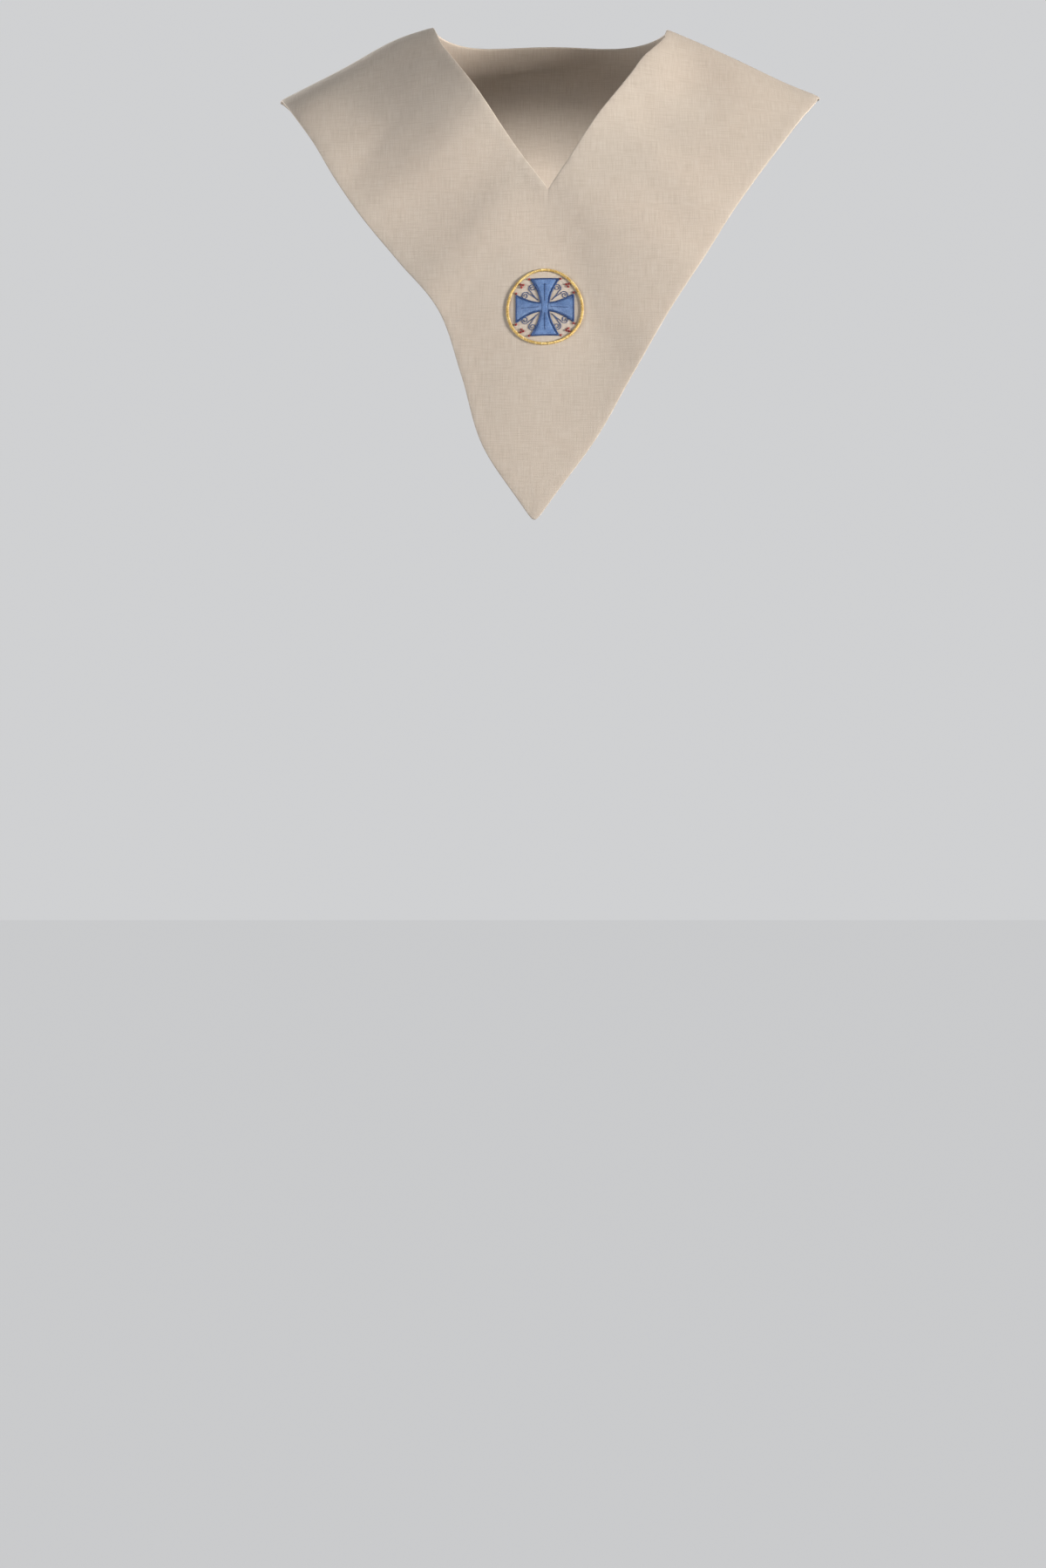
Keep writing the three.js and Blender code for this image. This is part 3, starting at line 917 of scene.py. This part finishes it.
THREADS = [  # name, deep tone, light tone, roughness, metallic
    ("pale_blue_thread", (0.095, 0.185, 0.40, 1), (0.19, 0.31, 0.56, 1), 0.42, 0.0),
    ("dark_blue_thread", (0.012, 0.042, 0.15, 1), (0.035, 0.095, 0.26, 1), 0.45, 0.0),
    ("gold_thread", (0.52, 0.30, 0.06, 1), (0.86, 0.64, 0.24, 1), 0.34, 0.25),
    ("pale_gold_thread", (0.76, 0.56, 0.22, 1), (0.90, 0.76, 0.44, 1), 0.40, 0.1),
    ("red_thread", (0.18, 0.01, 0.01, 1), (0.40, 0.035, 0.025, 1), 0.45, 0.0),
]
pale_blue, dark_blue, gold, pale_gold, red = [make_thread_material(*thread) for thread in THREADS]
print("threads:", ", ".join(thread[0] for thread in THREADS))

# %% [markdown]
# The cross has four flared arms, filled with pale blue satin stitch: parallel threads laid side by side
# from edge to edge, over padding that makes the middle stand up. The upright is sewn with level stitches
# from end to end, and the two level arms with upright stitches, as an embroiderer would turn the work.

# %% Satin filling of the cross
ARM = 22.0
CORE = 3.0
FLARE = 7.5
FLARE_POWER = 1.7
THREAD = 0.23
THREAD_LIES = 0.6 * THREAD  # height of a thread's middle where it lies on the cloth
FILL_SPACING = 0.40
STITCH_POINTS = 9
PADDING = 0.50
END_INSET = 0.4  # how far the first and last stitch stay inside the shape
SIDE_INSET = 0.35
CORE_OVERLAP = 0.2  # how far the level arms run under the upright
UNEVEN_PLACE = 0.05
UNEVEN_HEIGHT = 0.04


def arm_half_width(away):
    """core + flare * ((away - core) / (arm - core))^power, and the core's half width inside it"""
    out = np.clip((np.abs(away) - CORE) / (ARM - CORE), 0, 1)
    return CORE + FLARE * out**FLARE_POWER


def padded_height(share):
    """thread + padding * (1 - share^4), which is low at both edges of the shape"""
    return THREAD_LIES + PADDING * (1 - share**4)


random = np.random.default_rng(7)
fill_share = np.linspace(-1, 1, STITCH_POINTS)
upright = np.arange(-ARM + END_INSET, ARM - END_INSET, FILL_SPACING)
level = np.arange(CORE - CORE_OVERLAP, ARM - END_INSET, FILL_SPACING)
places = np.concatenate([upright, -level, level])
jitter = random.uniform(-UNEVEN_PLACE, UNEVEN_PLACE, len(places))[:, None]
reach_out = (arm_half_width(places) - SIDE_INSET)[:, None] * fill_share
crosswise = places[:, None] + jitter + 0 * fill_share
is_upright = (np.arange(len(places)) < len(upright))[:, None]
fill_right = np.where(is_upright, reach_out, crosswise)
fill_up = np.where(is_upright, crosswise, reach_out)
uneven = random.uniform(-UNEVEN_HEIGHT, UNEVEN_HEIGHT, len(places))[:, None]
fill_height = padded_height(fill_share) + uneven
cross_fill = make_threads("cross_fill", fill_right, fill_up, fill_height, THREAD, THREAD_SIDES, pale_blue)
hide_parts("emblem_cross")

# %% [markdown]
# A narrow border of dark blue satin stitch covers the ends of the filling. Its path is the outline of the
# cross, and each stitch crosses the path at a slant.

# %% Border of the cross
BORDER_WIDE = 1.35
BORDER_HIGH = 0.75
BORDER_SPACING = 0.40
BORDER_SLANT = 0.45
BORDER_THREAD = 0.9 * THREAD
BORDER_POINTS = 6
BORDER_SIDES = 5
BORDER_UNEVEN = 0.08
OUTLINE_POINTS = 24
STITCH_ENDS = 0.05  # height over the cloth at which a stitch goes down into it


def cross_outline():
    """Corners of one arm's outline from its inner corner, round its end, turned four times."""
    away = np.linspace(CORE, ARM, OUTLINE_POINTS)
    side = np.stack([away, arm_half_width(away)], axis=-1)
    one = np.concatenate([side * (1, -1), side[::-1]])
    turns = np.arange(4)[:, None] * np.pi / 2
    right = np.cos(turns) * one[:, 0] - np.sin(turns) * one[:, 1]
    up = np.sin(turns) * one[:, 0] + np.cos(turns) * one[:, 1]
    return right.ravel(), up.ravel()


def along_path(right, up, spacing):
    """Evenly spaced places on a path that closes on itself, with the direction of the path at each."""
    right, up = np.append(right, right[0]), np.append(up, up[0])
    length = np.concatenate([[0], np.cumsum(np.hypot(np.diff(right), np.diff(up)))])
    wanted = np.arange(0, length[-1], spacing)
    at_right, at_up = np.interp(wanted, length, right), np.interp(wanted, length, up)
    ahead = (wanted + spacing) % length[-1]
    back_by = (wanted - spacing) % length[-1]
    go_right = np.interp(ahead, length, right) - np.interp(back_by, length, right)
    go_up = np.interp(ahead, length, up) - np.interp(back_by, length, up)
    size = np.hypot(go_right, go_up)
    return at_right, at_up, go_right / size, go_up / size


def border_stitches(right, up):
    """Short stitches over a path: place + share * wide / 2 * (across the path + slant * along it)."""
    at_right, at_up, go_right, go_up = along_path(right, up, BORDER_SPACING)
    share = np.linspace(-1, 1, BORDER_POINTS)
    over_right = go_up + BORDER_SLANT * go_right
    over_up = -go_right + BORDER_SLANT * go_up
    uneven = 1 + random.uniform(-BORDER_UNEVEN, BORDER_UNEVEN, len(at_right))[:, None]
    reach = BORDER_WIDE / 2 * uneven * share
    stitch_right = at_right[:, None] + reach * over_right[:, None]
    stitch_up = at_up[:, None] + reach * over_up[:, None]
    height = np.sqrt(np.maximum(1 - share**2, 0)) * BORDER_HIGH + STITCH_ENDS + 0 * stitch_right
    return stitch_right, stitch_up, height


border = border_stitches(*cross_outline())
cross_border = make_threads("cross_border", *border, BORDER_THREAD, BORDER_SIDES, dark_blue)

# %% [markdown]
# The ring is a couched cord: three strands of gold thread twisted together, laid round on the cloth and
# held down by small stitches across it. Each strand is a circle with a small helix round it.

# %% Couched gold ring
RING = 29.0
STRANDS = 3
TWISTS = 56
STEPS_PER_TWIST = 10
STRAND = 0.50
TWIST_RADIUS = 0.62
TWIST_HIGH = 0.30
CORD_SINKS = 0.1  # how far the cord presses into the cloth
CORD_SIDES = 7
COUCHINGS = 36
COUCHING_POINTS = 9
COUCHING_HALF = 1.35
COUCHING_HIGH = 1.52
COUCHING_SLANT = 0.02
COUCHING_THREAD = 0.17

around_ring = np.linspace(0, 2 * np.pi, TWISTS * STEPS_PER_TWIST, endpoint=False)
phase = TWISTS * around_ring + np.arange(STRANDS)[:, None] * 2 * np.pi / STRANDS
cord_radius = RING + TWIST_RADIUS * np.cos(phase)
cord_height = STRAND - CORD_SINKS + TWIST_HIGH * (1 + np.sin(phase))
ring_cord = make_threads(
    "ring_cord",
    cord_radius * np.cos(around_ring),
    cord_radius * np.sin(around_ring),
    cord_height,
    STRAND,
    CORD_SIDES,
    gold,
    closed=True,
)
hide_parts("emblem_ring")

couch_angle = (np.arange(COUCHINGS) + 0.5)[:, None] * 2 * np.pi / COUCHINGS
couch_over = np.linspace(-np.pi / 2, np.pi / 2, COUCHING_POINTS)
couch_radius = RING + COUCHING_HALF * np.sin(couch_over)
couch_height = STITCH_ENDS + COUCHING_HIGH * np.cos(couch_over)
couch_slant = couch_angle + COUCHING_SLANT * np.sin(couch_over)
couching = make_threads(
    "ring_couching",
    couch_radius * np.cos(couch_slant),
    couch_radius * np.sin(couch_slant),
    couch_height + 0 * couch_slant,
    COUCHING_THREAD,
    THREAD_SIDES,
    pale_gold,
)

# %% [markdown]
# A dark line of back stitch runs out along the middle of each arm, as a vein does in a leaf. Each stitch
# overlaps the last a little, and lies on top of the satin filling.

# %% Veins of the cross
VEIN_STITCHES = 6
VEIN_START = 4.6
VEIN_STEP = 2.2
VEIN_HIGH = 0.92
VEIN_DIP = 0.30
VEIN_REACH = 1.12  # a stitch's length in steps, so each overlaps the next
VEIN_POINTS = 7
VEIN_THREAD = 0.27

vein_share = np.linspace(0, 1, VEIN_POINTS)
vein_steps = np.tile(np.arange(VEIN_STITCHES), 4)[:, None] + VEIN_REACH * vein_share
vein_out = VEIN_START + VEIN_STEP * vein_steps
vein_turn = (np.repeat(np.arange(4), VEIN_STITCHES) * np.pi / 2)[:, None]
vein_height = VEIN_HIGH - VEIN_DIP * (2 * vein_share - 1) ** 4 + 0 * vein_out
veins = make_threads(
    "cross_veins",
    np.cos(vein_turn) * vein_out,
    np.sin(vein_turn) * vein_out,
    vein_height,
    VEIN_THREAD,
    THREAD_SIDES,
    dark_blue,
)

# %% [markdown]
# Red French knots sit inside the ring: three together as a berry on each diagonal, and one beside each
# corner of the arms. A French knot is a thread wound twice round the needle and pulled down, so each is a
# short coil with a raised middle.

# %% French knots
BERRY_RING = 25.2
BERRY_SIZE = 1.25
CORNER_RING = 25.4
CORNER_ANGLE = 0.50
KNOT_TURNS = 2.2
KNOT_POINTS = 26
KNOT_SIZE = 0.72
KNOT_SHRINKS = 0.75
KNOT_LOW = 0.25
KNOT_RISES = 0.8
KNOT_THREAD = 0.36

quarter = np.arange(4)[:, None] * np.pi / 2
third = np.arange(3) * 2 * np.pi / 3
berry_angle = quarter + np.pi / 4
berry_right = BERRY_RING * np.cos(berry_angle) + BERRY_SIZE * np.cos(berry_angle + third)
berry_up = BERRY_RING * np.sin(berry_angle) + BERRY_SIZE * np.sin(berry_angle + third)
corner_angle = quarter + np.array([-CORNER_ANGLE, CORNER_ANGLE])
knot_right = np.append(berry_right, CORNER_RING * np.cos(corner_angle))[:, None]
knot_up = np.append(berry_up, CORNER_RING * np.sin(corner_angle))[:, None]
wind = np.linspace(0, 1, KNOT_POINTS)
knot_wind = random.uniform(0, 2 * np.pi, len(knot_right))[:, None] + 2 * np.pi * KNOT_TURNS * wind
coil = KNOT_SIZE * (1 - KNOT_SHRINKS * wind)
knots = make_threads(
    "knots",
    knot_right + coil * np.cos(knot_wind),
    knot_up + coil * np.sin(knot_wind),
    KNOT_LOW + KNOT_RISES * wind + 0 * knot_wind,
    KNOT_THREAD,
    THREAD_SIDES,
    red,
)

# %% [markdown]
# In each corner between the arms two fine tendrils part from a short stem and curl in. They are stem
# stitch: a line of short slanting stitches that looks like a thin cord, so the thread's radius swells once
# a stitch.

# %% Tendrils
TENDRILS = 8
STEM_POINTS = 24
STEM_START = 7.6
STEM_STITCH = 1.5
STEM_THREAD = 0.20
STEM_SWELLS = 0.10
STEM_HIGH = 0.22
CURL_POINTS = 66
CURL_MIDDLE = (17.6, 4.0)
CURL_START = 3.1
CURL_END = 0.7
CURL_FIRST = -0.62  # where the spiral starts, in half turns
CURL_TURNS = 1.55


def one_curl():
    """A stem, then a spiral whose radius shrinks evenly, as places along and beside the diagonal."""
    stem_share = np.linspace(0, 1, STEM_POINTS, endpoint=False)
    turn = np.linspace(0, 1, CURL_POINTS)
    angle = CURL_FIRST * np.pi + 2 * np.pi * CURL_TURNS * turn
    radius = CURL_START + (CURL_END - CURL_START) * turn
    curl_along = CURL_MIDDLE[0] + radius * np.cos(angle)
    curl_beside = CURL_MIDDLE[1] + radius * np.sin(angle)
    stem_along = STEM_START + (curl_along[0] - STEM_START) * stem_share
    stem_beside = curl_beside[0] * stem_share**2
    return np.concatenate([stem_along, curl_along]), np.concatenate([stem_beside, curl_beside])


curl_along, curl_beside = one_curl()
diagonal = (np.pi / 4 + np.arange(TENDRILS) // 2 * np.pi / 2)[:, None]
mirror = np.where(np.arange(TENDRILS) % 2 == 0, 1.0, -1.0)[:, None]
tendril_right = np.cos(diagonal) * curl_along - np.sin(diagonal) * mirror * curl_beside
tendril_up = np.sin(diagonal) * curl_along + np.cos(diagonal) * mirror * curl_beside
curl_length = np.concatenate([[0], np.cumsum(np.hypot(np.diff(curl_along), np.diff(curl_beside)))])
swell = np.abs(np.sin(np.pi * curl_length / STEM_STITCH)) * np.ones((TENDRILS, 1))
tendrils = make_threads(
    "tendrils",
    tendril_right,
    tendril_up,
    STEM_HIGH + 0 * tendril_right,
    STEM_THREAD + STEM_SWELLS * swell,
    THREAD_SIDES,
    dark_blue,
)

declare_panel(front, "front_panel")

# %% [markdown]
# The stage is a pale floor that reaches far behind the garment, under a pale sky. A cloth this smooth shows
# its folds only in light that grazes it, so a large soft light stands far to the viewer's right at the
# height of the garment, and a weaker one fills from the left. A third keeps the back from going dark. A
# pale stage would flatten the folds by lighting them from all round, so the camera sees it pale, and the
# cloth gets only a little light from it. The floor is nearly black and glows by itself, so no lamp leaves
# a bright patch on it.

# %% Floor and sky
FLOOR_DOWN = -2.9
FLOOR_HALF = 60.0
STAGE = (0.60, 0.605, 0.615, 1)
FLOOR_SHOWS = 0.98
FLOOR_LIT = (0.012, 0.012, 0.012, 1)
SKY_SEEN = 1.05
SKY_LIGHT = 0.16

floor_mesh = bpy.data.meshes.new("floor")
signs = ((-1, -1), (1, -1), (1, 1), (-1, 1))
corners = [(x * FLOOR_HALF, y * FLOOR_HALF, FLOOR_DOWN) for x, y in signs]
floor_mesh.from_pydata(corners, [], [(0, 1, 2, 3)])
floor = bpy.data.objects.new("floor", floor_mesh)
floor.visible_diffuse = False
bpy.context.collection.objects.link(floor)
floor_material, _, floor_shader = new_material("floor")
floor_shader.inputs["Base Color"].default_value = FLOOR_LIT
floor_shader.inputs["Emission Color"].default_value = STAGE
floor_shader.inputs["Emission Strength"].default_value = FLOOR_SHOWS
floor_shader.inputs["Roughness"].default_value = 0.9
floor_shader.inputs["Specular IOR Level"].default_value = 0.0
floor_mesh.materials.append(floor_material)

sky = bpy.data.worlds.new("sky")
sky.use_nodes = True
sky_tree = sky.node_tree
sky_lights = sky_tree.nodes["Background"]
sky_shows = sky_tree.nodes.new("ShaderNodeBackground")
for background, strength in ((sky_lights, SKY_LIGHT), (sky_shows, SKY_SEEN)):
    background.inputs["Color"].default_value = STAGE
    background.inputs["Strength"].default_value = strength
sky_mix = sky_tree.nodes.new("ShaderNodeMixShader")
seen_by_camera = sky_tree.nodes.new("ShaderNodeLightPath").outputs["Is Camera Ray"]
sky_tree.links.new(seen_by_camera, sky_mix.inputs[0])
sky_tree.links.new(sky_lights.outputs[0], sky_mix.inputs[1])
sky_tree.links.new(sky_shows.outputs[0], sky_mix.inputs[2])
sky_tree.links.new(sky_mix.outputs[0], sky_tree.nodes["World Output"].inputs["Surface"])
bpy.context.scene.world = sky
print(f"the floor lies {-FLOOR_DOWN:.1f} m below the shoulders")

# %% [markdown]
# The lamps are square area lights, whose size gives every shadow a soft edge. A sun or a point light would
# draw the folds hard. Each lamp is placed by its angles round the garment, and turned to face it.

# %% Soft lights
LIT_MIDDLE = np.array([0.0, 0.0, -0.18])
LIGHTS = [  # name, metres away, degrees to the right, degrees up, size, watts, colour
    ("key", 6.66, 65, 3, 1.6, 706, (1.0, 0.985, 0.965)),
    ("fill", 3.3, -61, -3, 1.4, 72, (0.93, 0.96, 1.0)),
    ("back", 3.2, 212, 20, 1.4, 92, (1.0, 0.98, 0.96)),
]


def soft_light(name, away, side, height, size, power, colour):
    """A square area light that faces the middle, from an angle to the viewer's right and one upward."""
    side, height = math.radians(side), math.radians(height)
    data = bpy.data.lights.new(name, "AREA")
    data.shape = "SQUARE"
    data.size = size
    data.energy = power
    data.color = colour
    light = bpy.data.objects.new(name, data)
    level = math.cos(height)
    way = np.array([math.sin(side) * level, -math.cos(side) * level, math.sin(height)])
    light.location = LIT_MIDDLE + away * way
    light.rotation_euler = (math.pi / 2 - height, 0, side)
    light.visible_camera = False
    bpy.context.collection.objects.link(light)
    print(f"{name} light at {np.round(light.location, 2)}")


for lamp in LIGHTS:
    soft_light(*lamp)
